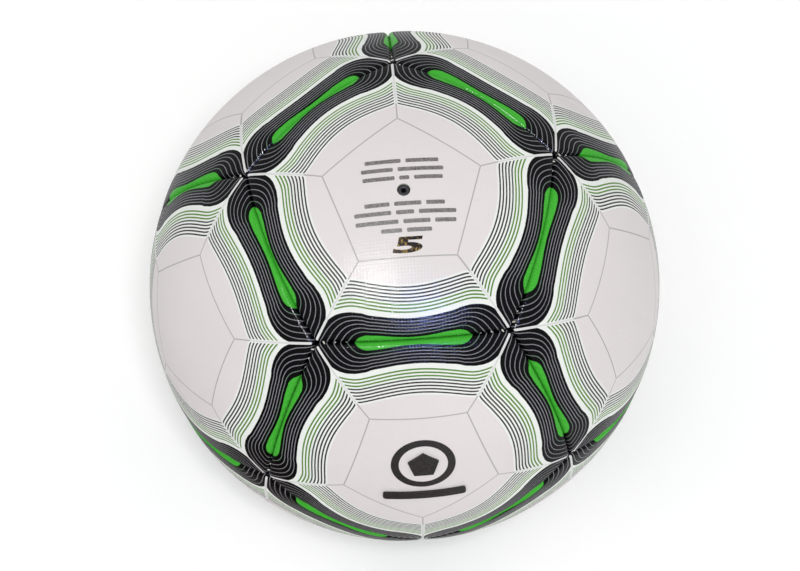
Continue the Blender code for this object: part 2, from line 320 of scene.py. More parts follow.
KNUCKLE = 18.0  # from a seam's middle to the middle of the round end of its green bone
GREEN_EDGE = (
    (0, 1.55), (0.11, 1.7), (0.25, 2.2), (0.39, 2.8), (0.5, 3.05), (0.66, 3.35), (0.76, 3.8),
    (0.85, 4.4), (0.92, 4.95), (0.96, 5.45), (1, 6.1),
)
BLACK_EDGE = (
    (0, 9.25), (0.11, 9.4), (0.22, 9.75), (0.36, 10.5), (0.5, 11.4), (0.55, 12.2), (0.6, 13.0),
    (0.64, 13.95), (0.68, 14.9), (0.73, 16.3), (0.78, 17.6), (0.835, 18.8), (0.9, 20.2),
    (0.95, 21.35), (1, 23.6),
)
CURVE_TOP = 25.0  # what 1 stands for on the curves' upright scale
BAND_STEPS = 6
LINE_RUN = 40.0
FIRST_LINE = (
    (0, 11.7), (4, 11.85), (8, 12.25), (16, 13.65), (20, 14.5), (24, 15.1), (27, 14.9), (30, 14.3),
    (33, 13.4), (40, 10.8),
)
LINE_PITCH = 1.41
LAST_LINE = 7
LINES_END = 10.6
STRIPE_HALF, LINE_HALF, FAINT_HALF, RAY_HALF = 0.19, 0.33, 0.26, 0.4
MITRE_HALF = 0.55  # the white stripe to each corner, which stops short of the corner itself
MITRE_STOPS = 1.2
LINES_STOP = 0.75
INNER_PENTAGON = 27.4
SHARP, SOFT = 0.12, 0.16  # over how far an inked edge fades
RAGGED = 0.22

leather, shader = new_material("printed_embossed_polyurethane_leather", "e2dddb", 0.36)


def math_node(operation, *values):
    """One step of the print's arithmetic on the leather."""
    return add(leather, "Math", dict(enumerate(values)), operation=operation)


def profile(x, points, across, top):
    """A drawn outline: its height in millimetres at x, which runs to across."""
    spots = [(a / across, b / top) for a, b in points]
    return math_node("MULTIPLY", add(leather, "FloatCurve", {1: x}, points=spots), top)


def under(value, edge, soft):
    """1 where a length is under an edge, fading to 0 over a soft width."""
    return add(
        leather,
        "MapRange",
        {"Value": value, "From Min": edge - soft / 2, "From Max": edge + soft / 2,
         "To Min": 1, "To Max": 0},
        interpolation_type="SMOOTHSTEP",
    )


def mixed(share, below, above):
    """The colour above laid over the colour below by a share."""
    node = add(leather, "Mix", {0: share, 6: below, 7: above}, data_type="RGBA")
    return node.outputs[2]


seam = add(leather, "SeparateXYZ", {0: add(leather, "UVMap", uv_map="seam")})
field = add(leather, "SeparateXYZ", {0: add(leather, "UVMap", uv_map="field")})
ragged = add(leather, "TexNoise", {0: add(leather, "TexCoord").outputs["Object"], "Scale": 1500})
wobble = math_node("MULTIPLY_ADD", ragged, RAGGED, -RAGGED / 2)
to_mm = 1000 / MAP_SCALE
run = math_node("ABSOLUTE", math_node("MULTIPLY", seam.outputs[0], to_mm))
reach = math_node("MULTIPLY", seam.outputs[1], to_mm)
hub = math_node("MULTIPLY", field.outputs[0], to_mm)
mitre = math_node("MULTIPLY", field.outputs[1], to_mm)

# Round the bone, from the seam's middle (0) over its knuckle (0.5 to 1), and out from its spine.
past_knuckle = math_node("MAXIMUM", math_node("SUBTRACT", run, KNUCKLE), 0)
across = math_node("MULTIPLY", past_knuckle, past_knuckle)
out = math_node("SQRT", math_node("MULTIPLY_ADD", reach, reach, across))
knuckle_turn = math_node("ARCTAN2", past_knuckle, reach)
shank = math_node("MULTIPLY", math_node("MINIMUM", run, KNUCKLE), 0.5 / KNUCKLE)
round_bone = math_node("MULTIPLY_ADD", knuckle_turn, 1 / math.pi, shank)
green_edge = profile(round_bone, GREEN_EDGE, 1, CURVE_TOP)
black_edge = profile(round_bone, BLACK_EDGE, 1, CURVE_TOP)

# Six even steps from the green's edge to the black's, with a pinstripe at each but the last.
past_green = math_node("ADD", math_node("SUBTRACT", out, green_edge), wobble)
step = math_node("DIVIDE", math_node("SUBTRACT", black_edge, green_edge), BAND_STEPS)
steps_out = math_node("DIVIDE", past_green, step)
off_stripe = math_node("ABSOLUTE", math_node("SUBTRACT", steps_out, math_node("ROUND", steps_out)))
stripe_gap = math_node("MULTIPLY", off_stripe, step)
inner_step = math_node("GREATER_THAN", steps_out, 0.5)
outer_step = math_node("LESS_THAN", steps_out, BAND_STEPS - 0.5)
striped = math_node("MULTIPLY", inner_step, outer_step)
is_stripe = math_node("MULTIPLY", under(stripe_gap, STRIPE_HALF, SHARP), striped)
past_black = math_node("ADD", math_node("SUBTRACT", out, black_edge), wobble)
past_corner = math_node("GREATER_THAN", reach, MITRE_STOPS)
mitre_stripe = math_node("MULTIPLY", under(mitre, MITRE_HALF, SHARP), past_corner)
off_mitre = math_node("SUBTRACT", 1, mitre_stripe)
is_black = math_node("MULTIPLY", under(past_black, 0, SHARP), off_mitre)
is_green = under(past_green, 0, SHARP)

# Eight lines beyond a white band. They keep one pitch and stop short of the line to the corner.
along_lines = math_node("MULTIPLY", run, 1 / LINE_RUN)
first_line = profile(along_lines, [(x / LINE_RUN, y) for x, y in FIRST_LINE], 1, CURVE_TOP)
past_first = math_node("SUBTRACT", reach, first_line)
line_count = math_node("DIVIDE", math_node("MULTIPLY_ADD", wobble, 0.5, past_first), LINE_PITCH)
nearest_line = math_node("ROUND", line_count)
line_number = math_node("MINIMUM", math_node("MAXIMUM", nearest_line, 0), LAST_LINE)
off_line = math_node("ABSOLUTE", math_node("SUBTRACT", line_count, line_number))
line_gap = math_node("MULTIPLY", off_line, LINE_PITCH)
clear_of_mitre = math_node("SUBTRACT", 1, under(mitre, LINES_STOP, 0.2))
is_line = math_node("MULTIPLY", under(line_gap, LINE_HALF, SOFT), clear_of_mitre)

# The faint pentagon in the middle, and the rays from its corners out to the lines. Across the lines
# each ray goes on as a pale grey stripe.
off_pentagon = math_node("ABSOLUTE", math_node("SUBTRACT", hub, INNER_PENTAGON))
inside_lines = math_node("GREATER_THAN", past_first, LINES_END)
beyond = math_node("MULTIPLY", math_node("GREATER_THAN", hub, INNER_PENTAGON), inside_lines)
is_ray = math_node("MULTIPLY", under(mitre, FAINT_HALF, SOFT), beyond)
is_faint = math_node("MAXIMUM", under(off_pentagon, FAINT_HALF, SOFT), is_ray)

# The emboss: a pit every 1.3 mm each way, coarser than the real grain's millimetre so that it shows.
EMBOSS_PITCH = 0.0013
emboss = add(
    leather,
    "TexVoronoi",
    {
        "Vector": add(leather, "UVMap", uv_map="face"),
        "Scale": 1 / MAP_SCALE / EMBOSS_PITCH,
        "Randomness": 0.15,
    },
    voronoi_dimensions="2D",
    feature="SMOOTH_F1",
)

PLAIN_WHITE, PRINTED_WHITE = "e3dddd", "edf0ec"
FAINT_GREY, RAY_GREY = "b2aeae", "dcdbdc"
BLACK_INK, STRIPE_GREY, FIRST_STRIPE = "030306", "86868c", "687a6e"
# The second green is a painted highlight: the green print lightened where the emboss's ridges catch the
# light.
BRIGHT_GREEN, RIDGE_HIGHLIGHT_GREEN = "38a92a", "6cd45e"
LINE_INKS = [(0, linear("5b8832")), (2.5 / 8, linear("455046")), (3.5 / 8, linear("3c3535"))]

printed = under(past_first, LINES_END + 0.4, 0.6)
colour = mixed(printed, linear(PLAIN_WHITE), linear(PRINTED_WHITE))
pale_ray = math_node("MULTIPLY", under(mitre, RAY_HALF, 0.2), printed)
colour = mixed(pale_ray, colour, linear(RAY_GREY))
colour = mixed(is_faint, colour, linear(FAINT_GREY))
inks = add(leather, "ValToRGB", {0: math_node("MULTIPLY", line_number, 1 / 8)}, points=LINE_INKS)
inks.color_ramp.interpolation = "CONSTANT"
colour = mixed(is_line, colour, inks)
stripe = mixed(under(steps_out, 1.5, 0.02), linear(STRIPE_GREY), linear(FIRST_STRIPE))
black = mixed(is_stripe, linear(BLACK_INK), stripe)
colour = mixed(is_black, colour, black)
# Painted highlight: the green is mixed lighter on the emboss's ridges and stays darker in its pits.
ridge_highlight_share = math_node("MULTIPLY", emboss.outputs["Distance"], 0.5)
green = mixed(ridge_highlight_share, linear(BRIGHT_GREEN), linear(RIDGE_HIGHLIGHT_GREEN))
colour = mixed(is_green, colour, green)

# Handling and the sewing clamp leave faint grey in the grain, and dull the print here and there.
skin_place = add(leather, "TexCoord").outputs["Object"]
soil = add(leather, "TexNoise", {0: skin_place, "Scale": 14, "Detail": 4})
soiled = math_node("MULTIPLY_ADD", soil, 0.16, 0.90)
tint = add(leather, "CombineColor", {0: soiled, 1: soiled, 2: soiled})
worn = add(leather, "Mix", {0: 1.0, 6: colour, 7: tint}, data_type="RGBA", blend_type="MULTIPLY")
leather.node_tree.links.new(worn.outputs[2], shader.inputs["Base Color"])

grain = add(leather, "TexNoise", {0: skin_place, "Scale": 2200})
relief = math_node("MULTIPLY_ADD", grain, 0.35, emboss.outputs["Distance"])
bump = add(leather, "Bump", {"Strength": 0.8, "Distance": 0.0002, "Height": relief})
leather.node_tree.links.new(bump.outputs[0], shader.inputs["Normal"])
patchy = math_node("MULTIPLY_ADD", soil, 0.16, 0.22)
leather.node_tree.links.new(patchy.outputs[0], shader.inputs["Roughness"])
shader.inputs["Specular IOR Level"].default_value = 0.02
shader.inputs["Coat Weight"].default_value = 0.2
shader.inputs["Coat Roughness"].default_value = 0.1
leather.node_tree.links.new(bump.outputs[0], shader.inputs["Coat Normal"])

# The leather's back: a matt cream layer of polyurethane foam, seen at its cut edges.
backing, _ = new_material("polyurethane_foam_backing", "cdc6b8", 0.9)

cover.data.materials.append(leather)
cover.data.materials.append(backing)
covers = {}
shifts = np.random.default_rng(5).uniform(-0.0004, 0.0004, (len(PANELS), 2))
for (name, direction), shift in zip(PANELS.items(), shifts):
    flat = turned_copy(cover, f"{name}_leather", Matrix())
    add_print_maps(flat, *shift)
    give_wall(flat, COVER_THICKNESS)
    flat.matrix_world = panel_turn(direction)
    bpy.ops.object.select_all(action="DESELECT")
    flat.select_set(True)
    bpy.ops.object.transform_apply(rotation=True)
    covers[name] = flat
bpy.data.objects.remove(cover)


# The valve hole in the top cover: punched before sewing with a hollow punch, 5.2 mm across, and its
# edge softened by the air behind it. The cut shows the leather's thickness.

AXIS = 0.000005  # the radius of a ring that closes to a point
ROUND_STEPS = 64
VALVE_HOLE = 0.0026
HOLE_LIP = 0.0003
PUNCH_TOP = -0.001


def turned_up(name, outline):
    """A round piece about the valve's axis: a ring carried on from each (radius, depth) to the next."""
    bpy.ops.object.select_all(action="DESELECT")
    radius, depth = outline[0]
    bpy.ops.mesh.primitive_circle_add(
        vertices=ROUND_STEPS, radius=radius, location=(0, 0, BALL - depth)
    )
    piece = bpy.context.object
    piece.name = piece.data.name = name
    bpy.ops.object.transform_apply(location=True)
    bpy.ops.object.mode_set(mode="EDIT")
    for (wide, low), (next_wide, next_low) in zip(outline, outline[1:]):
        bpy.ops.mesh.extrude_region_move()
        bpy.ops.transform.resize(
            value=(next_wide / wide, next_wide / wide, 1), center_override=(0, 0, 0)
        )
        bpy.ops.transform.translate(value=(0, 0, low - next_low))
    bpy.ops.mesh.select_all(action="SELECT")
    bpy.ops.mesh.remove_doubles(threshold=0.00002)
    bpy.ops.mesh.normals_make_consistent(inside=False)
    bpy.ops.object.mode_set(mode="OBJECT")
    piece.data.shade_smooth()
    return piece


def punch_through(piece, radius, end, lip=(), finishes=()):
    """Cuts the valve's hole in a piece to a depth, its wall in the last of the piece's finishes."""
    outline = [(AXIS, end), (radius, end), *lip]
    if lip:
        radius = lip[-1][0]
    outline += [(radius, PUNCH_TOP), (AXIS, PUNCH_TOP)]
    punch = turned_up("hollow_punch", outline)
    for finish in finishes:
        punch.data.materials.append(finish)
    for face in punch.data.polygons:
        face.material_index = max(0, len(finishes) - 1)
    hole = piece.modifiers.new("hole", "BOOLEAN")
    hole.object = punch
    bpy.context.view_layer.objects.active = piece
    bpy.ops.object.modifier_apply(modifier=hole.name)
    bpy.data.objects.remove(punch)


lip = [
    (VALVE_HOLE + HOLE_LIP * (1 - math.cos(a)), HOLE_LIP * (1 - math.sin(a))) for a in roll_steps
]
punch_through(covers["valve_panel"], VALVE_HOLE, 0.004, lip, (leather, backing))

for name, piece in covers.items():
    smooth_finish(piece, 50)
    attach(piece, "ball")
    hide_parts(f"{name}_cover")

# Panel linings: four layers of polyester-cotton cloth laminated with latex, 1.35 mm, glued behind
# each cover and turned in with it at the seams. They stop the ball from stretching out of round.

LINING_THICKNESS = 0.00135
LINING_TOP = COVER_THICKNESS + 0.00005
LINING_ROLL = 0.0016
WEAVE_PITCH = 0.0008
YARN_SCALE = 0.159  # the wave texture's scale at which half a wave, one yarn, is a unit long
HIDDEN_CUTS = 14
NECK_HOLE = 0.0047

cloth, shader = new_material("laminated_polyester_cotton_cloth", "c9bfa9", 0.85)
cloth_place = add(cloth, "TexCoord").outputs["Object"]
wave_scale = YARN_SCALE / WEAVE_PITCH
warp, weft = (
    add(
        cloth,
        "TexWave",
        {0: cloth_place, "Scale": wave_scale, "Distortion": 0.6, "Detail Scale": 60.0},
        bands_direction=axis,
    )
    for axis in "XY"
)
weave = add(cloth, "Math", {0: warp, 1: weft}, operation="MULTIPLY")
# Painted shade: the cloth's colour is darker where the weave is low, between the yarns.
shade = add(
    cloth, "ValToRGB", {0: weave}, points=[(0, linear("b3a78e")), (0.5, linear("d6ccb6"))]
)
cloth.node_tree.links.new(shade.outputs[0], shader.inputs["Base Color"])
ribs = add(cloth, "Bump", {"Strength": 0.6, "Distance": 0.0001, "Height": weave})
cloth.node_tree.links.new(ribs.outputs[0], shader.inputs["Normal"])

outside = SEAM_GAP + LINING_TOP
shoulder = [
    (outside + LINING_ROLL * (1 - math.sin(a)), LINING_TOP + LINING_ROLL * (1 - math.cos(a)))
    for a in roll_steps[::2]
]
lining = panel_shell("lining", HIDDEN_CUTS, shoulder + [(outside, FLANGE_DEPTH)])
pull_in(lining, SEAM_DIP, SEAM_DIP_REACH, 0)
lining.data.materials.append(cloth)
give_wall(lining, LINING_THICKNESS)

for name, direction in PANELS.items():
    piece = turned_copy(lining, f"{name}_laminated_cloth", panel_turn(direction))
    if name == "valve_panel":
        punch_through(piece, NECK_HOLE, 0.006)
    smooth_finish(piece, 50)
    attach(piece, "ball")
    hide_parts(f"{name}_lining")
bpy.data.objects.remove(lining)

# Seams: each is sewn inside out with two needles on one waxed five-ply polyester thread, which pass
# each other in every hole. The last stitches of a seam are pulled less deep, so their white crossings
# peep out between the covers near the corners.

THREAD = 0.00035
HOLES = 17
STITCH_SIDE = SEAM_GAP + LINING_TOP + LINING_THICKNESS + 0.00045
STITCH_DEPTH = 0.0042
CROSSING = 0.0030
TIGHT_END, LOOSE_END, LOOSE_SHARE = 0.0026, 0.0013, 0.4
LOOSE_FROM = 0.62  # the share of the way to a corner where a loose row starts to rise
LEAVES_HOLE = 0.0012
LEAN, PASSING = 0.0003, 0.00028
HOLE_HALF = 0.0006

twist, shader = new_material("waxed_polyester_thread", "dedbd0", 0.55)
lay = add(
    twist,
    "TexWave",
    {0: add(twist, "TexCoord").outputs["Object"], "Scale": 900, "Distortion": 1.0},
    bands_direction="DIAGONAL",
)
plies = add(twist, "Bump", {"Strength": 0.7, "Distance": 0.0001, "Height": lay})
twist.node_tree.links.new(plies.outputs[0], shader.inputs["Normal"])
# Painted shade: the thread's colour is darker in the grooves between its plies.
soft = add(twist, "ValToRGB", {0: lay}, points=[(0, linear("c4c0b2")), (1, linear("e8e6de"))])
twist.node_tree.links.new(soft.outputs[0], shader.inputs["Base Color"])


def stitched_thread(first_side, shallow):
    """One needle's thread: along the seam on one side to the next hole, then across to the other."""
    curve = bpy.data.curves.new("thread", "CURVE")
    curve.dimensions = "3D"
    curve.bevel_depth = THREAD
    curve.bevel_resolution = 1
    curve.use_fill_caps = True
    places = []
    side = first_side
    for k in range(HOLES):
        along = (k - (HOLES - 1) / 2) * STITCH_PITCH
        end_share = abs(along) / (STITCH_PITCH * (HOLES - 1) / 2)
        rise = max(0, end_share - LOOSE_FROM) / (1 - LOOSE_FROM)
        crossing = CROSSING + (shallow - CROSSING) * rise + 0.0002
        bend, low = side * STITCH_SIDE * 0.8, STITCH_DEPTH - 0.0004
        places.append((along - LEAVES_HOLE, side * STITCH_SIDE, STITCH_DEPTH))
        places.append((along - LEAN * side, bend, low))
        places.append((along - PASSING * side, side * HOLE_HALF, crossing))
        places.append((along + PASSING * side, -side * HOLE_HALF, crossing))
        places.append((along + LEAN * side, -bend, low))
        places.append((along + LEAVES_HOLE, -side * STITCH_SIDE, STITCH_DEPTH))
        side = -side
    spline = curve.splines.new("POLY")
    spline.points.add(len(places) - 1)
    for spot, (along, aside, depth) in zip(spline.points, places):
        angle = along / BALL
        radius = BALL - depth
        spot.co = (radius * math.sin(angle), aside, radius * math.cos(angle), 1)
    thread = bpy.data.objects.new("thread", curve)
    bpy.context.collection.objects.link(thread)
    return thread


def sewn_row(shallow):
    """Both threads of one seam, along +X across +Z."""
    first, second = stitched_thread(1, shallow), stitched_thread(-1, shallow)
    pick(second, first)
    bpy.ops.object.convert(target="MESH")
    bpy.ops.object.join()
    row = bpy.context.object
    row.data.materials.clear()
    row.data.materials.append(twist)
    row.data.shade_smooth()
    return row


tight, loose = sewn_row(TIGHT_END), sewn_row(LOOSE_END)
threads = sorted(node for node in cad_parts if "seam_thread" in node)
tension = np.random.default_rng(8).random(len(threads))
facings = list(PANELS.values())
seam_lines = [
    ((a + b).normalized(), a.cross(b).normalized())
    for i, a in enumerate(facings)
    for b in facings[i + 1 :]
    if 0 < a.dot(b) < 0.9
]
for node, pull in zip(threads, tension):
    lowest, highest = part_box(node)
    centre = (lowest + highest).normalized()
    middle, along = max(seam_lines, key=lambda line: line[0].dot(centre))
    turn = Matrix((along, middle.cross(along), middle)).transposed().to_4x4()
    row = loose if pull < LOOSE_SHARE else tight
    piece = turned_copy(row, node.replace("thread", "stitches"), turn)
    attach(piece, "ball")
    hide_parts(node)
bpy.data.objects.remove(tight)
bpy.data.objects.remove(loose)

# Bladder: one bag of natural latex, dipped on a round former and 0.8 mm thick. The air presses it
# into every panel, and it bridges the sewn edges with a groove.

BLADDER_DEPTH = 0.0031
BLADDER_WALL = 0.0008
GROOVE_DEPTH = FLANGE_DEPTH + 0.0010
GROOVE_SIDE = 0.0034

latex, shader = new_material("dipped_natural_latex", "b99a6b", 0.5)
shader.inputs["Subsurface Weight"].default_value = 0.25
shader.inputs["Subsurface Scale"].default_value = 0.002
latex_place = add(latex, "TexCoord").outputs["Object"]
cloudy = add(latex, "TexNoise", {0: latex_place, "Scale": 40, "Detail": 5})
tone = add(latex, "ValToRGB", {0: cloudy}, points=[(0.3, linear("a98a5c")), (0.7, linear("c4a577"))])
latex.node_tree.links.new(tone.outputs[0], shader.inputs["Base Color"])
ripple = add(latex, "Bump", {"Strength": 0.3, "Distance": 0.0005, "Height": cloudy})
latex.node_tree.links.new(ripple.outputs[0], shader.inputs["Normal"])

groove = [
    (0.0075, BLADDER_DEPTH), (0.0055, 0.0037), (0.0042, 0.0048), (GROOVE_SIDE, 0.0062),
    (0.0022, 0.0072), (0.0010, GROOVE_DEPTH), (0, GROOVE_DEPTH + 0.0001),
]
patch = panel_shell("bladder_patch", HIDDEN_CUTS, groove)
patches = [turned_copy(patch, f"patch_{name}", panel_turn(way)) for name, way in PANELS.items()]
bpy.data.objects.remove(patch)
pick(*patches)
bpy.ops.object.join()
bladder = bpy.context.object
bladder.name = bladder.data.name = "latex_bladder"
bpy.ops.object.mode_set(mode="EDIT")
bpy.ops.mesh.select_all(action="SELECT")
bpy.ops.mesh.remove_doubles(threshold=0.00005)
bpy.ops.mesh.normals_make_consistent(inside=False)
bpy.ops.object.mode_set(mode="OBJECT")
bladder.data.materials.append(latex)
give_wall(bladder, BLADDER_WALL)
punch_through(bladder, NECK_HOLE, 0.009)
smooth_finish(bladder, 50)
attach(bladder, "ball")
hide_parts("bladder")

# Valve patch: a disc of the lining's cloth, 28 mm across, glued behind the top panel's lining so
# that the hole through it doesn't tear.

PATCH_RADIUS = 0.0140
PATCH_DEPTH = 0.00248
PATCH_THICKNESS = 0.0005


def domed(radius, depth):
    """(radius, depth) on a sphere inside the ball's, for a piece that lies along it."""
    return radius, BALL - math.sqrt((BALL - depth) ** 2 - radius**2)


radii = [NECK_HOLE + (PATCH_RADIUS - NECK_HOLE) * k / 4 for k in range(5)]
outline = [domed(r, PATCH_DEPTH) for r in radii]
outline += [domed(r, PATCH_DEPTH + PATCH_THICKNESS) for r in reversed(radii)]
backing_disc = turned_up("valve_patch_cloth", outline + outline[:1])
backing_disc.data.materials.append(cloth)
smooth_finish(backing_disc, 40)
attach(backing_disc, "ball")
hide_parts("valve_patch")

# Valve housing: moulded black rubber, a neck that fills the lining's hole, a flange vulcanised to
# the inside of the bladder, and a tube that grips the plug.

HEAD_RADIUS = 0.0024
PLUG_RADIUS = 0.0019
NECK_RADIUS = 0.0043
FLANGE_RADIUS = 0.0130
TUBE_END = 0.0210
SEAT = 0.0034


def rounded(outline, reach):
    """A closed outline of (radius, depth) with each corner that is off the axis eased by an arc."""
    made = []
    for before, here, after in zip(outline[-1:] + outline[:-1], outline, outline[1:] + outline[:1]):
        if here[0] < AXIS * 2:
            made.append(here)
            continue
        here, before, after = Vector(here), Vector(before), Vector(after)
        start = here + (before - here).normalized() * min(reach, (before - here).length / 2.2)
        end = here + (after - here).normalized() * min(reach, (after - here).length / 2.2)
        for share in (0, 0.25, 0.5, 0.75, 1):
            near = start.lerp(here, share)
            made.append(tuple(near.lerp(here.lerp(end, share), share)))
    return made + made[:1]


rubber, shader = new_material("moulded_valve_rubber", "0d0c0b", 0.5)
rubber_place = add(rubber, "TexCoord").outputs["Object"]
bloom = add(rubber, "TexNoise", {0: rubber_place, "Scale": 600, "Detail": 6})
dust = add(rubber, "ValToRGB", {0: bloom}, points=[(0.35, linear("090808")), (0.85, linear("1b1917"))])
rubber.node_tree.links.new(dust.outputs[0], shader.inputs["Base Color"])
matt = add(rubber, "Bump", {"Strength": 0.2, "Distance": 0.0001, "Height": bloom})
rubber.node_tree.links.new(matt.outputs[0], shader.inputs["Normal"])

skin = BLADDER_DEPTH + BLADDER_WALL
outline = [
    (HEAD_RADIUS + 0.00015, 0.0018),
    (NECK_RADIUS, 0.0018),
    (NECK_RADIUS, domed(NECK_RADIUS, skin)[1] + 0.0001),
    domed(0.009, skin + 0.0001),
    domed(FLANGE_RADIUS, skin + 0.0001),
    domed(FLANGE_RADIUS, skin + 0.0005),
    domed(0.009, skin + 0.0009),
    (NECK_RADIUS + 0.0012, 0.0060),
    (NECK_RADIUS, 0.0085),
    (NECK_RADIUS - 0.0007, TUBE_END),
    (PLUG_RADIUS + 0.0001, TUBE_END),
    (PLUG_RADIUS + 0.0001, SEAT),
    (HEAD_RADIUS + 0.00015, SEAT),
]
housing = turned_up("valve_housing_rubber", rounded(outline, 0.0004))
housing.data.materials.append(rubber)
smooth_finish(housing, 60)
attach(housing, "ball")
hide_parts("valve_housing")

# Valve plug: a softer moulding that pushes into the housing and closes round the needle. Its head
# sits just under the cover's hole, with a funnel that leads the needle into the blind bore.

HEAD_TOP = 0.0007
NEEDLE_BORE = 0.0008
PLUG_END = 0.0180
outline = [
    (NEEDLE_BORE, HEAD_TOP + 0.0006),
    (NEEDLE_BORE + 0.0003, HEAD_TOP),
    (HEAD_RADIUS - 0.0001, HEAD_TOP),
    (HEAD_RADIUS, HEAD_TOP + 0.0003),
    (HEAD_RADIUS, SEAT - 0.0001),
    (PLUG_RADIUS, SEAT - 0.0001),
    (PLUG_RADIUS, 0.0095),
    (PLUG_RADIUS + 0.00008, 0.0100),
    (PLUG_RADIUS, 0.0105),
    (PLUG_RADIUS, PLUG_END - 0.0020),
    (PLUG_RADIUS - 0.0007, PLUG_END),
    (AXIS, PLUG_END),
    (AXIS, 0.0120),
    (NEEDLE_BORE, 0.0114),
]
plug = turned_up("valve_plug_rubber", rounded(outline, 0.0002))
plug.data.materials.append(rubber)
smooth_finish(plug, 60)
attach(plug, "plug")
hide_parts("valve_plug")

# Printing on two panels: rows of plain dashes round the valve where a maker's notice goes, the size
# numeral under them, and a plain ring, pentagon and bar on the panel in front. Each is ink laid on
# the leather, drawn here as a skin a twentieth of a millimetre proud.

INK_STANDS = 0.00006
INK_SKIN = 0.0008  # how far the ink's body goes into the leather, which hides its underside
INK_CUT = 0.0015

dark_ink, shader = new_material("screen_printed_dark_ink", "1c1816", 0.42)
fleck = add(dark_ink, "TexNoise", {0: add(dark_ink, "TexCoord").outputs["Object"], "Scale": 1100})
thin = add(dark_ink, "ValToRGB", {0: fleck}, points=[(0.35, linear("151210")), (0.75, linear("332d2a"))])
dark_ink.node_tree.links.new(thin.outputs[0], shader.inputs["Base Color"])

notice_ink, shader = new_material("screen_printed_notice_ink", "6e6a68", 0.42)
fleck = add(notice_ink, "TexNoise", {0: add(notice_ink, "TexCoord").outputs["Object"], "Scale": 1300})
thin = add(notice_ink, "ValToRGB", {0: fleck}, points=[(0.3, linear("57524f")), (0.7, linear("8b8683"))])
notice_ink.node_tree.links.new(thin.outputs[0], shader.inputs["Base Color"])

foil, shader = new_material("hot_stamped_gold_foil", "2a2118", 0.3)
shader.inputs["Metallic"].default_value = 0.7
flake = add(foil, "TexVoronoi", {0: add(foil, "TexCoord").outputs["Object"], "Scale": 2000})
glint = add(
    foil,
    "ValToRGB",
    {0: flake.outputs["Color"]},
    points=[
        (0.0, linear("0d0907")), (0.74, linear("191009")), (0.8, linear("8c7434")),
        (1.0, linear("5c3a20")),
    ],
)
foil.node_tree.links.new(glint.outputs[0], shader.inputs["Base Color"])


def laid_on(piece, name, ink, turn):
    """Lays a flat drawing, in metres about the panel's middle, on that panel as a skin of ink."""
    pick(piece)
    piece.name = piece.data.name = name
    bpy.ops.object.transform_apply(location=True, rotation=True, scale=True)
    span = max(piece.dimensions)
    for axis in ((1, 0, 0), (0, 1, 0)):
        for k in range(1, math.ceil(span / INK_CUT) + 1):
            spot = [c * (k * INK_CUT - span / 2 - INK_CUT / 2) for c in axis]
            middle = sum((Vector(c) for c in piece.bound_box), Vector()) / 8
            bpy.ops.object.mode_set(mode="EDIT")
            bpy.ops.mesh.select_all(action="SELECT")
            bpy.ops.mesh.bisect(plane_co=Vector(spot) + middle, plane_no=axis)
            bpy.ops.object.mode_set(mode="OBJECT")
    points = np.array([v.co for v in piece.data.vertices])
    arc = np.hypot(points[:, 0], points[:, 1])
    side = np.sin(arc / BALL) / np.maximum(arc, 1e-9)
    ball = np.stack([points[:, 0] * side, points[:, 1] * side, np.cos(arc / BALL)], axis=1)
    piece.data.vertices.foreach_set("co", (ball * (BALL + INK_STANDS)).ravel())
    give_wall(piece, INK_SKIN)
    piece.data.materials.clear()
    piece.data.materials.append(ink)
    smooth_finish(piece, 30)
    piece.matrix_world = turn
    bpy.ops.object.transform_apply(rotation=True)
    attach(piece, "ball")
    return piece


def bar(middle, size, corner):
    """A flat bar with rounded ends, its face up."""
    bpy.ops.object.select_all(action="DESELECT")
    bpy.ops.mesh.primitive_plane_add(size=1, location=(*middle, 0))
    piece = bpy.context.object
    piece.scale = (*size, 1)
    bpy.ops.object.transform_apply(location=True, scale=True)
    bpy.ops.object.mode_set(mode="EDIT")
    bpy.ops.mesh.select_all(action="SELECT")
    bpy.ops.mesh.bevel(offset=corner, segments=4, affect="VERTICES")
    bpy.ops.object.mode_set(mode="OBJECT")
    return piece


def joined(pieces):
    """Several drawings made one."""
    pick(*pieces)
    bpy.ops.object.join()
    return bpy.context.object


DASH_HEIGHT = 0.0017
DASH_GAP = 0.0019
# Each row: how far above the valve it is, and the lengths of its dashes.
NOTICE_ROWS = (
    (0.01275, (0.0145, 0.0132)),
    (0.0090, (0.0128, 0.0183)),
    (0.0052, (0.0128, 0.0040, 0.0115)),
    (-0.0058, (0.0100, 0.0108, 0.0075)),
    (-0.0094, (0.0148, 0.0072, 0.0150)),
    (-0.0132, (0.0172, 0.0108, 0.0085)),
    (-0.0168, (0.0084, 0.0100)),
)
dashes = []
for height, lengths in NOTICE_ROWS:
    left = -(sum(lengths) + DASH_GAP * (len(lengths) - 1)) / 2
    for length in lengths:
        dashes.append(bar((left + length / 2, height), (length, DASH_HEIGHT), DASH_HEIGHT * 0.3))
        left += length + DASH_GAP
laid_on(joined(dashes), "notice_dashes", notice_ink, Matrix())

NUMERAL_HEIGHT = 0.0066
NUMERAL_WIDTH = 0.0125
NUMERAL_PLACE = -0.0228
bpy.ops.object.select_all(action="DESELECT")
bpy.ops.object.text_add(location=(0, 0, 0))
numeral = bpy.context.object
numeral.data.body = "5"
numeral.data.offset = 0.035
numeral.data.shear = 0.1
bpy.ops.object.convert(target="MESH")
low = np.min([v.co for v in numeral.data.vertices], axis=0)
high = np.max([v.co for v in numeral.data.vertices], axis=0)
scale = Vector((NUMERAL_WIDTH / (high[0] - low[0]), NUMERAL_HEIGHT / (high[1] - low[1]), 1))
for vertex in numeral.data.vertices:
    across, up = vertex.co.x - (low[0] + high[0]) / 2, vertex.co.y - (low[1] + high[1]) / 2
    vertex.co = (across * scale.x, up * scale.y + NUMERAL_PLACE, 0)
laid_on(numeral, "size_numeral", foil, Matrix())

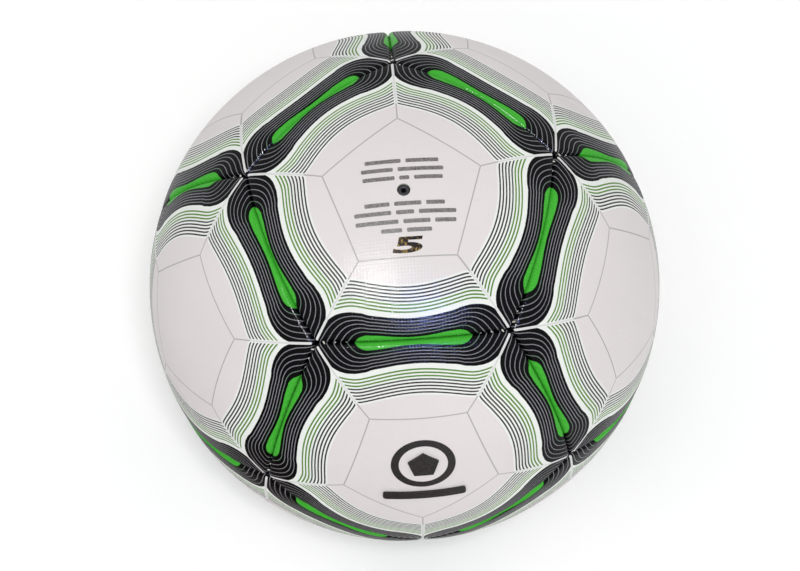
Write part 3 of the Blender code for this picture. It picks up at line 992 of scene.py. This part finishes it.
EMBLEM_MIDDLE = (0.0010, 0.0035)
RING_OUTER, RING_INNER, PENTAGON = 0.0132, 0.0100, 0.0066
NAME_BAR = ((0.0010, -0.0145), (0.034, 0.0042))
bpy.ops.object.select_all(action="DESELECT")
bpy.ops.mesh.primitive_circle_add(vertices=72, radius=RING_INNER, location=(*EMBLEM_MIDDLE, 0))
ring = bpy.context.object
bpy.ops.object.mode_set(mode="EDIT")
bpy.ops.mesh.extrude_region_move()
bpy.ops.transform.resize(value=(RING_OUTER / RING_INNER, RING_OUTER / RING_INNER, 1))
bpy.ops.object.mode_set(mode="OBJECT")
bpy.ops.object.transform_apply(location=True)
bpy.ops.mesh.primitive_circle_add(
    vertices=5, radius=PENTAGON, fill_type="NGON", location=(*EMBLEM_MIDDLE, 0)
)
pentagon = bpy.context.object
bpy.ops.object.transform_apply(location=True)
emblem = joined([ring, pentagon, bar(*NAME_BAR, 0.0012)])
bpy.ops.object.mode_set(mode="EDIT")
bpy.ops.mesh.select_all(action="SELECT")
bpy.ops.mesh.normals_make_consistent(inside=False)
bpy.ops.object.mode_set(mode="OBJECT")
if emblem.data.polygons[0].normal.z < 0:
    emblem.data.flip_normals()
front_turn = panel_turn(PANELS["upper_panel_1"]) @ Matrix.Rotation(math.pi, 4, "Z")
laid_on(emblem, "plain_emblem", dark_ink, front_turn)

# Studio: a white paper floor in a pale room that is browner low at the front left. Two soft lights
# shade the ball. Two windows show only in its gloss: one glints in the emboss beside the numeral, and
# a bluish one gives the black band below it a sheen.

bpy.ops.object.select_all(action="DESELECT")
bpy.ops.mesh.primitive_plane_add(size=40, location=(0, 0, cad_box[0][2]))
floor = bpy.context.object
floor.name = "studio_floor"
paper, shader = new_material("matt_white_backdrop_paper", "ffffff", 0.95)
shader.inputs["Emission Color"].default_value = linear("ffffff")
shader.inputs["Emission Strength"].default_value = 0.06
floor.data.materials.append(paper)
floor.visible_glossy = False  # the ball's gloss sees the room below instead

away = Vector((-0.0204, -0.3474, 0.9375)).normalized()  # from the ball to the camera
up = Vector((0.0671, 0.9351, 0.3480))
right = up.cross(away).normalized()
for name, way, distance, size, power in (
    ("key_softbox", away + 0.06 * right + 0.04 * up, 1.7, 0.2, 7.5),
    ("overhead_softbox", away - 0.3 * right, 2.4, 2.2, 6),
    ("window", away - 0.21 * right + 0.06 * up, 1.7, 0.14, 30),
    ("blue_window", away + 0.17 * right - 0.19 * up, 1.7, 0.32, 28),
):
    stand = way.normalized() * distance
    bpy.ops.object.light_add(type="AREA", location=stand)
    light = bpy.context.object
    light.name = name
    light.data.size = size
    light.data.energy = power
    light.rotation_euler = stand.to_track_quat("Z", "Y").to_euler()
    light.visible_glossy = "window" in name
    light.visible_diffuse = "window" not in name
light.data.color = linear("8fa6ff")[:3]  # of the last one only
room = bpy.data.worlds.new("pale_room")
bpy.context.scene.world = room
room.use_nodes = True
lit_side = tuple(0.25 * away + 0.6 * up + 0.4 * right)
way_seen = add(room, "TexCoord").outputs["Generated"]
height = add(room, "VectorMath", {0: way_seen, 1: lit_side}, operation="DOT_PRODUCT").outputs["Value"]
above = add(room, "MapRange", {"Value": height, "From Min": -0.7, "From Max": -0.35})
tones = add(room, "ValToRGB", {0: above}, points=[(0, linear("7b6a5c")), (1, linear("ffffff"))])
room.node_tree.links.new(tones.outputs[0], room.node_tree.nodes["Background"].inputs["Color"])
room.node_tree.nodes["Background"].inputs["Strength"].default_value = 0.71

# Camera: a long lens 1.24 m away and 70 degrees above the floor, a little to the front.

CAMERA_DISTANCE = 1.239
CAMERA_LENS = 128.9
bpy.ops.object.camera_add()
camera = bpy.context.object
camera.data.sensor_width = 36
camera.data.lens = CAMERA_LENS
aim = -0.0019 * right + 0.0002 * up
camera.matrix_world = Matrix.Translation(aim + away * CAMERA_DISTANCE) @ Matrix(
    (right, away.cross(right), away)
).transposed().to_4x4()
bpy.context.scene.camera = camera
bpy.context.scene.view_settings.view_transform = "Standard"
